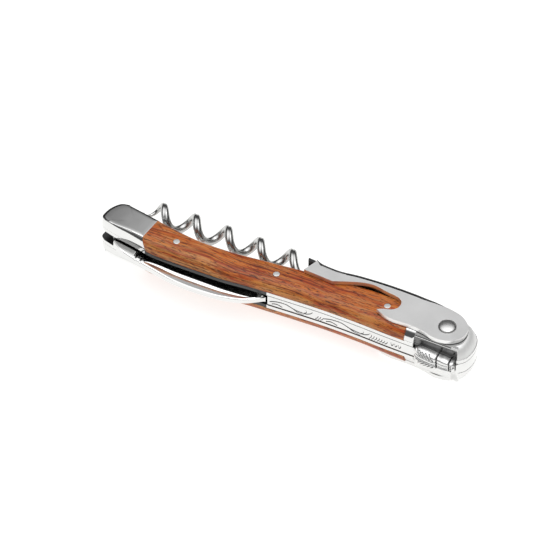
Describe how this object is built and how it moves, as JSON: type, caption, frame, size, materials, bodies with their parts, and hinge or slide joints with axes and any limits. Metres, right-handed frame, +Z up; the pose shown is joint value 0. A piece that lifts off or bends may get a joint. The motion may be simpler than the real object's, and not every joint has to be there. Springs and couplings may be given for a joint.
{
  "type": "waiters corkscrew",
  "caption": "Folded waiter's corkscrew lying on its side: wood scales between polished steel bolsters, one-stage lever with cap hook, steel worm, foil blade and a bee on the spring.",
  "frame": {"origin": "bottom centre of the overall box, under the middle of the folded corkscrew as it lies on its side", "axes": "+X along the handle from the tail towards the lever's rivet, +Y towards the belly where the worm lies, +Z up, across the handle's thickness"},
  "size_m": [0.1177, 0.0269, 0.018],
  "materials": {
    "polished_steel": "mirror-polished stainless steel",
    "satin_steel": "fine satin stainless steel",
    "pin_steel": "stainless steel, polished flush",
    "rosewood": "polished reddish hardwood with dark streaks"
  },
  "bodies": {
    "root": {"liner_top": "polished_steel", "liner_bottom": "polished_steel", "scale_top": "rosewood", "scale_bottom": "rosewood", "tail_bolster_top": "polished_steel", "tail_bolster_bottom": "polished_steel", "head_bolster_top": "polished_steel", "head_bolster_bottom": "polished_steel", "head_spacer": "polished_steel", "back_spring": "polished_steel", "bee": "satin_steel", "blade_pivot_pin": "pin_steel", "worm_pivot_pin": "pin_steel", "lever_rivet": "pin_steel", "scale_pin_top_rear": "pin_steel", "scale_pin_top_middle": "pin_steel", "scale_pin_top_front": "pin_steel", "scale_pin_bottom_rear": "pin_steel", "scale_pin_bottom_middle": "pin_steel", "scale_pin_bottom_front": "pin_steel", "spring_pin_rear": "pin_steel", "spring_pin_front": "pin_steel"},
    "lever": {"lever": "satin_steel"},
    "worm": {"worm": "polished_steel"},
    "blade": {"blade": "polished_steel"}
  },
  "joints": [
    {"name": "lever_fold", "type": "hinge", "parent": "root", "child": "lever", "pos_m": [0.0497, -0.00017, 0.009], "axis": [0, 0, -1], "range_deg": [0, 180]},
    {"name": "worm_fold", "type": "hinge", "parent": "root", "child": "worm", "pos_m": [0.0116, 0.00282, 0.009], "axis": [0, 0, -1], "range_deg": [0, 90]},
    {"name": "blade_fold", "type": "hinge", "parent": "root", "child": "blade", "pos_m": [-0.0525, -0.00228, 0.009], "axis": [0, 0, -1], "range_deg": [0, 180]}
  ],
  "couplings": [
    {"joint": "worm_fold", "follows": "lever_fold", "ratio": 0.5}
  ]
}
